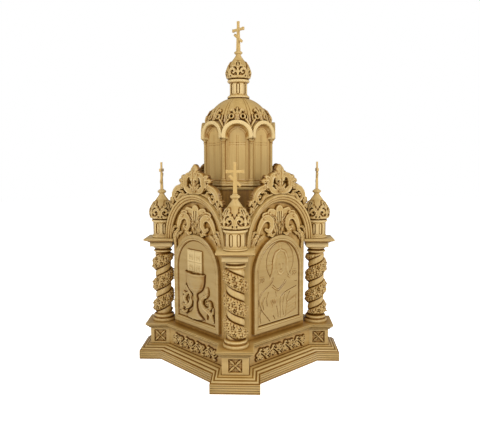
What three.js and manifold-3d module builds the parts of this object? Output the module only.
// A carved wooden altar tabernacle in the form of a small domed church.
// Millimetres, +Z up, the origin in the middle of the underside, the door towards -Y.
import * as THREE from 'three';
import { mergeVertices } from 'three/addons/utils/BufferGeometryUtils.js';
import Module from 'manifold-3d';

const wasm = await Module();
wasm.setup();

// Driving dimensions: the plan
const GAP = 0.3;                 // glue line left between neighbouring pieces
const CORNER = 210.8;            // corner columns from the central axis, along the diagonal
const DIE_HALF = 32;             // half the width of a corner pedestal
const FRIEZE_FACE = 158;         // front of the frieze boards, from the axis
const WALL_FACE = 145;           // front of the walls, from the axis
const WALL_HALF = 102;           // half the width of a wall, out to the chamfered corner
const WALL_THICK = 16;
const DRUM_FLAT = 90;            // octagonal drum, axis to the middle of a flat
const DRUM_WALL = 12;

// Driving dimensions: the heights
const DIE_FOOT = 36.6;
const DIE_TOP = 79;
const FLOOR_TOP = 95.4;          // top of the base cornice, the floor of the chamber
const ABACUS_FOOT = 304.3;
const ABACUS_TOP = 316.8;
const CAP_TOP = 327.4;           // top of the column caps, where the gables and turrets stand
const ROOF_TOP = 339;
const DRUM_FOOT = 462;
const DRUM_TOP = 600;
const LANTERN_FOOT = 700;
const ONION_FOOT = 749;
const TOP = 900;

// Driving dimensions: columns, arched panels, gables and what stands on them
const PITCH = 59;                // rise of one turn of a twisted column
const SHAFT = { foot: 118, top: 284, rows: 14, neck: 22 };
const TWIST_START = { left: 118, right: 153 };   // height where a column of each hand starts its turn
const PANEL = { half: 91, foot: 108, spring: 257, proud: 10 };
const FIELD_SUNK = { half: 74, foot: 127, depth: 6 };
const DOORWAY = { half: 72, foot: 116, top: 300 };
const GABLE_RADIUS = 121;
const GABLE_SPRING = 330;
const GABLE_STEP = { count: 3, width: 6.3, depth: 5 };
const CREST = { back: 143, thick: 8, rise: 8, rimAngle: 36, chord: 18 };
const HINGE = { x: -94, y: -150, radius: 2.4, half: 13, plate: 6, heights: [150, 230] };
const HOOD = { radius: 36.5, spring: 600, foot: 588, face: 98 };
const WINDOW = { half: 24, foot: 484, spring: 592, sunk: 4, margin: 4 };
const COLONNETTE = { radius: 4.5, foot: 482, inset: 1.5 };
const DOME = { foot: DRUM_TOP + GAP, centre: 622, radius: 87, rise: 79, rib: 1.04, web: 0.985 };
const LANTERN = { radius: 23.5, ring: 29.5, slots: 8, onion: 0.94, crossFoot: 825, slant: 38 };
const TURRET = { radius: 25, ring: 29, slots: 5, onionFoot: 378, crossFoot: 458.6, top: 532, slant: 43 };

const COLOURS = { wood: 0xc4a169, brass: 0xb08d4a };
const SIDES = [['front', 0], ['right', 90], ['back', 180], ['left', 270]];
const CORNERS = [['front_right', -45], ['back_right', 45], ['back_left', 135], ['front_left', 225]];
const isRear = (angle) => angle >= 180;
const OVERCUT = 5;               // how far a cutter runs past the faces it opens
const ORIGIN = new THREE.Vector2();
const radians = THREE.MathUtils.degToRad;
const lerp = THREE.MathUtils.lerp;
const v2 = (x, y) => new THREE.Vector2(x, y);
const polar = (radius, degrees) => v2(radius, 0).rotateAround(ORIGIN, radians(degrees));

const tabernacle = new THREE.Group();

// A closed mesh as a solid that can be joined and cut
function solid(geometry) {
  const bare = geometry.clone();
  bare.deleteAttribute('normal');
  bare.deleteAttribute('uv');
  const merged = mergeVertices(bare, 1e-3);
  const index = merged.index.array;
  const kept = [];
  for (let i = 0; i < index.length; i += 3) {
    const [a, b, c] = [index[i], index[i + 1], index[i + 2]];
    if (a !== b && b !== c && c !== a) kept.push(a, b, c);
  }
  const vertProperties = Float32Array.from(merged.attributes.position.array);
  const triVerts = Uint32Array.from(kept);
  return new wasm.Manifold(new wasm.Mesh({ numProp: 3, vertProperties, triVerts }));
}

const add = (body, pieces) => pieces.map(solid).reduce((whole, piece) => whole.add(piece), body);
const cut = (body, pieces) => pieces.map(solid).reduce((rest, piece) => rest.subtract(piece), body);
const join = ([first, ...others]) => add(solid(first), others);

// A finished piece as a named mesh
function place(name, body, turn = 0, material = 'wood') {
  const { vertProperties, triVerts } = body.getMesh();
  const geometry = new THREE.BufferGeometry();
  geometry.setAttribute('position', new THREE.BufferAttribute(vertProperties, 3));
  geometry.setIndex(new THREE.BufferAttribute(triVerts, 1));
  geometry.computeVertexNormals();
  const metal = material === 'brass';
  const look = { color: COLOURS[material], roughness: metal ? 0.35 : 0.5, metalness: metal ? 1 : 0 };
  const mesh = new THREE.Mesh(geometry, new THREE.MeshStandardMaterial(look));
  mesh.name = name;
  mesh.rotation.z = radians(turn);
  tabernacle.add(mesh);
}

// A bare mesh from its corner points and triangles
function faceted(positions, index) {
  const geometry = new THREE.BufferGeometry();
  geometry.setAttribute('position', new THREE.Float32BufferAttribute(positions, 3));
  geometry.setIndex(index);
  return geometry;
}

// Rings of equal length stacked up the Z axis, closed at both ends
function loft(layers) {
  const count = layers[0].ring.length;
  const positions = layers.flatMap(({ z, ring }) => ring.flatMap((p) => [p.x, p.y, z]));
  const index = [];
  for (let k = 0; k + 1 < layers.length; k++) {
    for (let i = 0; i < count; i++) {
      const a = k * count + i;
      const b = k * count + (i + 1) % count;
      index.push(a, b, b + count, a, b + count, a + count);
    }
  }
  const last = (layers.length - 1) * count;
  for (const [a, b, c] of THREE.ShapeUtils.triangulateShape(layers[0].ring, [])) index.push(c, b, a);
  for (const [a, b, c] of THREE.ShapeUtils.triangulateShape(layers.at(-1).ring, [])) {
    index.push(last + a, last + b, last + c);
  }
  return faceted(positions, index);
}

const circle = (radius, count, start = 0) =>
  Array.from({ length: count }, (_, i) => polar(radius, start + i * 360 / count));
const block = (x0, x1, half) => [v2(x0, -half), v2(x1, -half), v2(x1, half), v2(x0, half)];
const octagon = (flat) => circle(flat / Math.cos(Math.PI / 8), 8, 22.5);
const turned = (profile, sides, start = 0) =>
  loft(profile.map(([radius, z]) => ({ z, ring: circle(radius, sides, start) })));
const prism = (ring, foot, top) => loft([foot, top].map((z) => ({ z, ring })));

// A flat outline, drawn in x and height, given thickness between two distances in front of the axis
function board(shape, from, to, segments = 5) {
  const options = { depth: to - from, bevelEnabled: false, curveSegments: segments };
  return new THREE.ExtrudeGeometry(shape, options).translate(0, 0, from).rotateX(Math.PI / 2);
}

function box(x0, x1, z0, z1, from, to) {
  return board(new THREE.Shape([v2(x0, z0), v2(x1, z0), v2(x1, z1), v2(x0, z1)]), from, to);
}

// An upright outline with a round head
function arched(half, foot, spring) {
  const shape = new THREE.Shape();
  shape.moveTo(-half, foot);
  shape.lineTo(half, foot);
  shape.absarc(0, spring, half, 0, Math.PI, false);
  shape.closePath();
  return shape;
}

// A carved stem or leaf: a ridge along a path in x and height, standing on a plane in front of the axis
function ridge(path, width, height, plane, swell = leafSwell) {
  const count = path.length;
  const positions = [];
  path.forEach((point, i) => {
    const t = i / (count - 1);
    const before = path[Math.max(i - 1, 0)];
    const after = path[Math.min(i + 1, count - 1)];
    const along = after.clone().sub(before).normalize();
    const across = along.rotateAround(ORIGIN, Math.PI / 2).multiplyScalar(width * swell(t));
    const rise = height * (0.45 + 0.55 * swell(t));
    positions.push(point.x + across.x, -plane, point.y + across.y);
    positions.push(point.x, -plane - rise, point.y);
    positions.push(point.x - across.x, -plane, point.y - across.y);
  });
  const index = [];
  for (let k = 0; k + 1 < count; k++) {
    for (let i = 0; i < 3; i++) {
      const a = k * 3 + i;
      const b = k * 3 + (i + 1) % 3;
      index.push(a, b, b + 3, a, b + 3, a + 3);
    }
  }
  const end = (count - 1) * 3;
  index.push(0, 2, 1, end, end + 1, end + 2);
  return faceted(positions, index);
}

const leafSwell = (t) => 0.18 + 0.82 * Math.sin(Math.PI * Math.min(0.12 + 0.88 * t, 1));
const stemSwell = (t) => 1 - 0.45 * t;
const mirrored = (path, side) => path.map((p) => v2(side * p.x, p.y));
const spline = (points, steps) => new THREE.SplineCurve(points).getPoints(steps);

// A curl that winds inwards from a starting point round a centre
function curl(centre, radius, startDegrees, turnDegrees, steps, shrink) {
  return Array.from({ length: steps + 1 }, (_, i) => {
    const t = i / steps;
    return polar(radius * (1 - shrink * t), startDegrees + turnDegrees * t).add(centre);
  });
}

// The plan of the base: straight runs between corner blocks set on the diagonals
function basePlan(out, run) {
  const half = DIE_HALF + out;
  const inner = (FRIEZE_FACE + run * out) * Math.SQRT2 - half;
  const corner = block(inner, CORNER + half, half);
  return CORNERS.flatMap(([, angle]) => corner.map((p) => p.clone().rotateAround(ORIGIN, radians(angle))));
}

const stackedPlan = (profile, run = 1) =>
  solid(loft(profile.map(([z, out]) => ({ z, ring: basePlan(out, run) }))));
const PLINTH_RUN = 1.22;         // overhang of the plinth's straight runs, to that of its corner blocks

// Plinth with a grooved side and two rounded lips up to the pedestals: height and overhang
place('plinth', stackedPlan([
  [0, 27], [11.4, 27], [12.5, 25.4], [13.6, 27], [25, 27], [27.5, 21],
  [30.5, 18], [32, 12], [DIE_FOOT - GAP, 1],
], PLINTH_RUN));

// Base cornice, one board that is also the chamber's floor
place('base_cornice', stackedPlan([
  [DIE_TOP + GAP, 1.5], [83.4, 4], [84.4, 7], [89, 9.5], [91, 12], [FLOOR_TOP - GAP, 11.5],
]));

// Corner pedestals: a sunk four-leaf cross on each outer face
const ROSETTE = { reach: 16, inset: 2.6, half: 14, depth: 5, sideInset: 26 };
const DIE_MIDDLE = (DIE_FOOT + DIE_TOP) / 2;
function rosetteCuts(turn, distance, centre) {
  const { reach, inset, half, depth } = ROSETTE;
  const rim = [v2(-half, reach), v2(half, reach), v2(0, inset)];
  const deepest = v2(0, (reach + inset) / 1.8);
  return [0, 90, 180, 270].map((quarter) => {
    const points = [...rim, deepest].flatMap((point, i) => {
      const p = point.clone().rotateAround(ORIGIN, radians(quarter));
      return [centre + p.x, i < 3 ? -distance - 0.5 : depth - distance, DIE_MIDDLE + p.y];
    });
    return faceted(points, [0, 2, 1, 0, 1, 3, 1, 2, 3, 2, 0, 3]).rotateZ(radians(turn));
  });
}

for (const [corner, angle] of CORNERS) {
  const half = DIE_HALF - GAP / 2;
  const die = solid(prism(block(CORNER - half, CORNER + half, half), DIE_FOOT, DIE_TOP - GAP));
  const side = CORNER + DIE_HALF - ROSETTE.sideInset;
  const faces = [[90, CORNER + DIE_HALF, 0], [0, DIE_HALF, side], [180, DIE_HALF, -side]];
  place(`pedestal_${corner}`, cut(die, faces.flatMap((face) => rosetteCuts(...face))), angle);
}

// Frieze boards between the pedestals, with a row of vine leaves that turn up and down in turn
const FRIEZE = { thick: 14, run: 189, leafWidth: 9, leafRise: 8 };
function friezeBoard(leaves) {
  const reach = FRIEZE_FACE - DIE_HALF * Math.SQRT2 - 2 * GAP;
  const back = FRIEZE_FACE - FRIEZE.thick;
  const plan = [v2(-reach, -FRIEZE_FACE), v2(reach, -FRIEZE_FACE),
    v2(reach - FRIEZE.thick, -back), v2(FRIEZE.thick - reach, -back)];
  const pieces = [prism(plan, DIE_FOOT, DIE_TOP - GAP)];
  for (let i = 0; i < leaves; i++) {
    const x = (i - (leaves - 1) / 2) * FRIEZE.run / leaves;
    const up = i % 2 ? -1 : 1;
    const leaf = [[-10, -13], [2, -3], [5, 15]].map(([dx, dz]) => v2(x + dx, DIE_MIDDLE + up * dz));
    pieces.push(ridge(leaf, FRIEZE.leafWidth, FRIEZE.leafRise, FRIEZE_FACE - 1));
  }
  return join(pieces);
}

for (const [side, angle] of SIDES) place(`frieze_${side}`, friezeBoard(isRear(angle) ? 3 : 7), angle);

// Twisted columns: a broad carved band and a narrow smooth one wind round the shaft
const BANDS = [                  // share of a turn, and radius
  [0, 19], [0.1, 27], [0.33, 30.4], [0.56, 27], [0.66, 19], [0.75, 21.6], [0.92, 21.6],
];
const COLUMN_FOOT = [[30.5, 0], [30.5, 8], [27, 11], [27, 17]];     // radius, and height above the floor
const CAPITAL = [[25.5, 287], [25.5, 293], [28.5, ABACUS_FOOT - GAP]];

function column(hand) {
  const start = hand < 0 ? TWIST_START.left : TWIST_START.right;
  const lead = hand * 360 * (SHAFT.foot - start) / PITCH;
  const section = (twist, radiusOf) => BANDS.map(([share, r]) => polar(radiusOf(r), share * 360 + twist));
  const layers = COLUMN_FOOT.map(([radius, z]) => ({ z: FLOOR_TOP + z, ring: section(lead, () => radius) }));
  let twist = lead;
  for (let row = 0; row <= SHAFT.rows; row++) {
    const z = lerp(SHAFT.foot, SHAFT.top, row / SHAFT.rows);
    const atEnd = row === 0 || row === SHAFT.rows;
    twist = hand * 360 * (z - start) / PITCH;
    layers.push({ z, ring: section(twist, (r) => (atEnd ? SHAFT.neck : r)) });
  }
  for (const [radius, z] of CAPITAL) layers.push({ z, ring: section(twist, () => radius) });
  return solid(loft(layers).translate(CORNER, 0, 0));
}

for (const [corner, angle] of CORNERS) {
  const hand = corner === 'front_right' || corner === 'back_left' ? -1 : 1;
  place(`column_${corner}`, column(hand), angle);
}

// Column caps: a square abacus under a moulded plate that butts against the chamfered corner
const CHAMFER = (WALL_FACE + WALL_HALF) / Math.SQRT2;
const CAP_PROFILE = [            // height, and half the width
  [ABACUS_FOOT, 30], [ABACUS_TOP, 30], [ABACUS_TOP + 1, 34], [322, 38], [324, 44.3], [CAP_TOP - GAP, 44.3],
];
for (const [corner, angle] of CORNERS) {
  const layers = CAP_PROFILE.map(([z, half]) => {
    const inner = Math.max(CORNER - half, CHAMFER + 2 * GAP);
    return { z, ring: block(inner, CORNER + half, half) };
  });
  place(`cap_${corner}`, solid(loft(layers)), angle);
}

// Chamfered corner posts behind the columns
const WALL_BACK = WALL_FACE - WALL_THICK;
for (const [corner, angle] of CORNERS) {
  const edge = WALL_HALF + GAP;
  const plan = [v2(edge, -WALL_FACE), v2(WALL_FACE, -edge), v2(WALL_BACK, -edge), v2(edge, -WALL_BACK)];
  const ring = plan.map((p) => p.rotateAround(ORIGIN, Math.PI / 4));
  place(`post_${corner}`, solid(prism(ring, FLOOR_TOP, CAP_TOP - GAP)), angle);
}

// Walls that rise into round gables with a stepped arch, plainer on the two rear sides
function wall(doorway, steps) {
  const foot = CAP_TOP + GAP;
  const shape = new THREE.Shape();
  shape.moveTo(-WALL_HALF, FLOOR_TOP);
  shape.lineTo(WALL_HALF, FLOOR_TOP);
  shape.lineTo(WALL_HALF, foot);
  shape.lineTo(GABLE_RADIUS, foot);
  shape.absarc(0, GABLE_SPRING, GABLE_RADIUS, 0, Math.PI, false);
  shape.lineTo(-GABLE_RADIUS, foot);
  shape.lineTo(-WALL_HALF, foot);
  const front = WALL_FACE + GABLE_STEP.count * GABLE_STEP.depth;
  const cuts = [];
  for (let step = 1; step <= steps; step++) {
    const share = step * GABLE_STEP.count / steps;
    const inner = GABLE_RADIUS - share * GABLE_STEP.width;
    cuts.push(board(arched(inner, 0, GABLE_SPRING), front - share * GABLE_STEP.depth, front + OVERCUT));
  }
  if (doorway) {
    const { half, foot: sill, top } = DOORWAY;
    cuts.push(box(-half, half, sill, top, WALL_BACK - OVERCUT, WALL_FACE + OVERCUT));
  }
  return cut(solid(board(shape, WALL_BACK, front)), cuts);
}

for (const [side, angle] of SIDES) {
  place(`wall_${side}`, wall(side === 'front', isRear(angle) ? 1 : GABLE_STEP.count), angle);
}

// Arched panels with a raised frame: the front one is the door
const PANEL_FACE = WALL_FACE + PANEL.proud;
const FIELD = PANEL_FACE - FIELD_SUNK.depth;
const ROOT = FIELD - 1;          // plane that the carving is rooted in, just under the field

function panel(relief) {
  const leaf = board(arched(PANEL.half, PANEL.foot, PANEL.spring), WALL_FACE + GAP, PANEL_FACE);
  const field = arched(FIELD_SUNK.half, FIELD_SUNK.foot, PANEL.spring);
  return add(cut(solid(leaf), [board(field, FIELD, PANEL_FACE + OVERCUT)]), relief);
}

// Low relief turned from a profile of radius and height, flattened against the field
function flattened(profile, depth, x, sides) {
  const widest = Math.max(...profile.map(([radius]) => radius));
  return loft(profile.map(([radius, z]) => {
    const arc = Array.from({ length: sides + 1 }, (_, i) => polar(radius, 180 + i * 180 / sides));
    return { z, ring: arc.map((p) => v2(x + p.x, p.y * depth / widest - ROOT)) };
  }));
}

// A chalice under a tablet, between two leafy scrolls
const CHALICE = [
  [46, 128], [44, 134], [22, 144], [7, 160], [6, 174], [10, 181], [7, 190], [31, 211], [39, 230], [41, 250],
];
const SCROLL_STEM = [[58, 131], [60, 150], [40, 168], [36, 190], [46, 212]];
const SCROLL_LEAF = [[44, 164], [62, 172], [60, 190]];
function chaliceRelief() {
  const pieces = [flattened(CHALICE, 11, -2, 4), box(-33, 29, 250.5, 308, ROOT, FIELD + 3.5)];
  for (const side of [-1, 1]) {
    const path = (points) => points.map(([x, z]) => v2(side * x, z));
    pieces.push(ridge(spline(path(SCROLL_STEM), 4), 6, 9, ROOT));
    pieces.push(ridge(path(SCROLL_LEAF), 6, 8, ROOT));
  }
  return pieces;
}

// A half figure with a halo, one hand raised and the other on a book
const FIGURE = {
  middle: 4,
  halo: { z: 280, radius: 50, rise: 1.2 },
  bust: [[64, 128], [64, 165], [50, 214], [26, 236], [12, 244]],
  hair: [[20, 252], [25, 276], [21, 298], [10, 308]],
  face: [[4, 246], [15, 264], [16, 286], [9, 298]],
  hand: [[-30, 150], [-22, 172], [-8, 180], [-4, 204]],
};
function haloedFigure() {
  const { middle, halo, bust, hair, face, hand } = FIGURE;
  const disc = new THREE.Shape();
  disc.absarc(middle, halo.z, halo.radius, 0, 2 * Math.PI, false);
  return [
    board(disc, ROOT, FIELD + halo.rise),
    flattened(bust, 5, middle, 3),
    flattened(hair, 5, middle, 3),
    flattened(face, 7.5, middle, 3),
    box(20, 66, 142, 200, ROOT, FIELD + 5.6),
    ridge(spline(hand.map(([x, z]) => v2(x, z)), 4), 9, 8, ROOT),
  ];
}

place('door', panel(chaliceRelief()), 0);
place('panel_right', panel(haloedFigure()), 90);
place('panel_back', panel([]), 180);
place('panel_left', panel([]), 270);

// Two small barrel hinges on the door's hidden edge
HINGE.heights.forEach((z, i) => {
  const { x, y, radius, half, plate } = HINGE;
  const barrel = turned([[radius, z - half], [radius, z + half]], 8).translate(x, y, 0);
  const leaf = box(x - plate, x + 0.5, z - half, z + half, WALL_FACE + GAP, -y);
  place(`hinge_${i ? 'upper' : 'lower'}`, join([barrel, leaf]), 0, 'brass');
});

// Carved tympanum: a palmette, and on the seen sides two volutes whose leaves droop beside the panel
const PALMETTE_ROOT = v2(0, 354);
const PALMETTE = [[0, 424, 0], [26, 414, 8], [44, 398, 20]];        // tip, and how far the leaf bends
const DROOP = [[64, 372], [84, 350], [90, 328], [85.5, 308]];
function tympanumScroll(rich) {
  const plane = WALL_FACE + GAP;
  const pieces = [];
  const leaf = (x, z, bend) => {
    const waist = v2(bend * 0.4, lerp(PALMETTE_ROOT.y, z, 0.55));
    pieces.push(ridge(spline([PALMETTE_ROOT, waist, v2(x, z)], 2), 8.5, 11, plane));
  };
  leaf(...PALMETTE[0]);
  for (const side of [1, -1]) {
    for (const [x, z, bend] of PALMETTE.slice(1)) leaf(side * x, z, side * bend);
    if (!rich) continue;
    const volute = [v2(9, 358), ...curl(v2(50, 372), 24, 105, -400, 6, 0.72)];
    pieces.push(ridge(mirrored(volute, side), 6.5, 11, plane, stemSwell));
    const droop = spline(DROOP.map(([x, z]) => v2(side * x, z)), 3);
    pieces.push(ridge(droop, 7, 10, plane));
  }
  return join(pieces);
}

for (const [side, angle] of SIDES) place(`tympanum_${side}`, tympanumScroll(!isRear(angle)), angle);

// Pierced crest of scrolls and leaves on top of each gable, in radius and angle about the gable's centre
const CREST_EDGE = [[134, 38], [145, 47], [153, 53], [170, 61], [166, 68], [158, 73], [181, 80], [184, 85]];
const CREST_TIP = [197, 90];
const CREST_LEAF = [[126, 70], [150, 64], [171, 62]];
const CREST_SCROLL = [[128, 62], [150, 57], [146, 47], [131, 44]];
const CREST_HOLE = { radius: 7, at: [142, 53] };
function crest(rich) {
  const at = ([radius, degrees]) => polar(radius, degrees).add(v2(0, GABLE_SPRING));
  const rim = Array.from({ length: 7 }, (_, i) => {
    return at([GABLE_RADIUS + 2 * GAP, CREST.rimAngle + i * CREST.chord]);
  });
  const edge = CREST_EDGE.map(at);
  const outline = new THREE.Shape([
    ...rim.reverse(), ...edge, at(CREST_TIP), ...mirrored(edge, -1).reverse(),
  ]);
  const plane = CREST.back + CREST.thick - 1;
  const pieces = [ridge([[126, 90], [168, 90], [194, 90]].map(at), 13, CREST.rise, plane)];
  const holes = [];
  for (const side of rich ? [1, -1] : []) {
    const path = (points) => mirrored(points.map(at), side);
    pieces.push(ridge(path(CREST_LEAF), 9, CREST.rise, plane));
    pieces.push(ridge(path(CREST_SCROLL), 7, CREST.rise, plane, stemSwell));
    const [middle] = path([CREST_HOLE.at]);
    const hole = circle(CREST_HOLE.radius, 6).map((p) => p.add(middle));
    holes.push(board(new THREE.Shape(hole), CREST.back - OVERCUT, plane + OVERCUT));
  }
  const plate = cut(solid(board(outline, CREST.back, CREST.back + CREST.thick)), holes);
  return add(plate, pieces);
}

for (const [side, angle] of SIDES) place(`crest_${side}`, crest(!isRear(angle)), angle);

// Flat roof board behind the gables
const ROOF = { half: WALL_BACK - GAP, chamfer: 12 };
const roofCorner = [v2(ROOF.half - ROOF.chamfer, -ROOF.half), v2(ROOF.half, ROOF.chamfer - ROOF.half)];
const roofRing = SIDES.flatMap(([, angle]) => {
  return roofCorner.map((p) => p.clone().rotateAround(ORIGIN, radians(angle)));
});
place('roof', solid(prism(roofRing, CAP_TOP + GAP, ROOF_TOP)));

// Hollow octagonal drum base
function drumBase() {
  const outside = prism(octagon(DRUM_FLAT), ROOF_TOP + GAP, DRUM_FOOT - GAP);
  const inside = prism(octagon(DRUM_FLAT - DRUM_WALL), ROOF_TOP - OVERCUT, DRUM_FOOT + OVERCUT);
  return cut(solid(outside), [inside]);
}

place('drum_base', drumBase());

// Drum: eight arched windows under projecting hoods, with colonnettes at the angles
const DRUM_PROFILE = [           // height, and distance of the flats
  [DRUM_FOOT, 93], [467, 95], [470, 91], [476, 94.5], [481, 93], [483, DRUM_FLAT], [DRUM_TOP, DRUM_FLAT],
];
function hoodOutline() {
  const opening = WINDOW.half + WINDOW.margin;
  const shape = new THREE.Shape();
  shape.moveTo(HOOD.radius, HOOD.foot);
  shape.absarc(0, HOOD.spring, HOOD.radius, 0, Math.PI, false);
  shape.lineTo(-HOOD.radius, HOOD.foot);
  shape.lineTo(-opening, HOOD.foot);
  shape.absarc(0, WINDOW.spring + 3, opening, Math.PI, 0, true);
  shape.lineTo(opening, HOOD.foot);
  return shape;
}

function drum() {
  const body = solid(loft(DRUM_PROFILE.map(([z, flat]) => ({ z, ring: octagon(flat) }))));
  const cuts = [prism(octagon(DRUM_FLAT - DRUM_WALL), DRUM_FOOT - OVERCUT, DRUM_TOP + OVERCUT)];
  const added = [];
  const angleLine = DRUM_FLAT / Math.cos(Math.PI / 8) - COLONNETTE.inset;
  const pane = arched(WINDOW.half, WINDOW.foot, WINDOW.spring);
  for (let face = 0; face < 8; face++) {
    const turn = (geometry) => geometry.rotateZ(face * Math.PI / 4);
    cuts.push(turn(board(pane, DRUM_FLAT - WINDOW.sunk, DRUM_FLAT + 4 * OVERCUT, 2)));
    added.push(turn(board(hoodOutline(), DRUM_FLAT - 1, HOOD.face, 2)));
    const shaft = turned([[COLONNETTE.radius, COLONNETTE.foot], [COLONNETTE.radius, HOOD.foot - 1]], 4);
    added.push(turn(shaft.translate(0, -angleLine, 0).rotateZ(Math.PI / 8)));
  }
  return add(cut(body, cuts), added);
}

place('drum', drum());

// Ribbed dome with a leaf over every arch
const DOME_HOLLOW = [[DOME.foot - OVERCUT, 75.7], [640, 72.2], [680, 39.6]];   // height, and half the width
const DOME_LEAF = { heights: [4, 22, 42], width: 17, rise: 8, foot: 630, lean: 32, inset: 3 };
function dome() {
  const ring = (radius) => Array.from({ length: 16 }, (_, i) => {
    return polar(radius * (i % 2 ? DOME.rib : DOME.web), 22.5 * i);
  });
  const layers = [{ z: DOME.foot, ring: ring(DOME.radius) }];
  const steps = 4;
  const sweep = Math.PI / 2.4;
  for (let i = 0; i <= steps; i++) {
    const z = lerp(DOME.centre, LANTERN_FOOT - GAP, Math.sin(sweep * i / steps) / Math.sin(sweep));
    const rise = (z - DOME.centre) / DOME.rise;
    layers.push({ z, ring: ring(DOME.radius * Math.sqrt(1 - rise * rise)) });
  }
  const hollow = loft(DOME_HOLLOW.map(([z, flat]) => ({ z, ring: octagon(flat) })));
  const leaves = Array.from({ length: 8 }, (_, face) => {
    const path = DOME_LEAF.heights.map((z) => v2(0, z));
    const leaf = ridge(path, DOME_LEAF.width, DOME_LEAF.rise, 0).rotateX(-radians(DOME_LEAF.lean));
    return leaf.translate(0, DOME_LEAF.inset - DOME.radius, DOME_LEAF.foot).rotateZ(face * Math.PI / 4);
  });
  return add(cut(solid(loft(layers)), [hollow]), leaves);
}

place('dome', dome());

// Slotted drum under an onion: foot and head rings round a ring of slots, from -Y round by +X
const SLOT = { half: 5.5, depth: 0.1, foot: 12, head: 13 };
function slottedDrum(foot, top, { radius, ring, slots }) {
  const body = turned([
    [ring, foot], [ring, foot + 5], [radius, foot + 8], [radius, top - 10], [ring, top - 6], [ring - 1, top],
  ], 8, 22.5);
  const notch = block(radius * (1 - SLOT.depth), radius + OVERCUT, SLOT.half);
  return cut(solid(body), Array.from({ length: slots }, (_, i) => {
    return prism(notch, foot + SLOT.foot, top - SLOT.head).rotateZ(radians(45 * i - 90));
  }));
}

// Onion dome: a leafy bulb, a smooth cone and a bead
const ONION = [                  // height, radius, and depth of the lobes
  [0, 21, 0], [8, 30.5, 0.05], [24, 34, 0.06], [44, 21, 0.07], [69, 7.4, 0], [73, 11.4, 0], [80, 6, 0],
];
function onion(foot, scale) {
  const lobes = 10;
  return solid(loft(ONION.map(([z, radius, lobe]) => ({
    z: foot + z * scale,
    ring: Array.from({ length: lobes }, (_, i) => {
      return polar(radius * scale * (i % 2 ? 1 + lobe : 1 - lobe), i * 360 / lobes);
    }),
  }))));
}

// Eight-pointed church cross: post, arms and a slanted footrest, its arms along x
const CROSS = { foot: 4.6, head: 3, flat: 0.7, arm: 21, armFoot: 25, armTop: 18, rest: 15, restDrop: 43 };
function cross(foot, top, slant) {
  const { arm, armFoot, armTop, rest, restDrop } = CROSS;
  const layers = [[foot, CROSS.foot], [top, CROSS.head]];
  const post = loft(layers.map(([z, half]) => ({ z, ring: block(-half, half, half * CROSS.flat) })));
  const footrest = box(-rest, rest, -2.2, 2.2, -2, 2).rotateY(radians(slant)).translate(0, 0, top - restDrop);
  return join([post, box(-arm, arm, top - armFoot, top - armTop, -2.3, 2.3), footrest]);
}

place('lantern', slottedDrum(LANTERN_FOOT, ONION_FOOT - GAP, LANTERN));
place('onion', onion(ONION_FOOT, LANTERN.onion));
place('cross_top', cross(LANTERN.crossFoot, TOP, LANTERN.slant));

for (const [corner, angle] of CORNERS) {
  const stand = (body) => body.translate(CORNER, 0, 0);
  place(`turret_${corner}`, stand(slottedDrum(CAP_TOP, TURRET.onionFoot - GAP, TURRET)), angle);
  place(`turret_onion_${corner}`, stand(onion(TURRET.onionFoot, 1)), angle);
  const facing = cross(TURRET.crossFoot, TURRET.top, TURRET.slant).rotate([0, 0, 90]);
  place(`turret_cross_${corner}`, stand(facing), angle);
}

export default tabernacle;
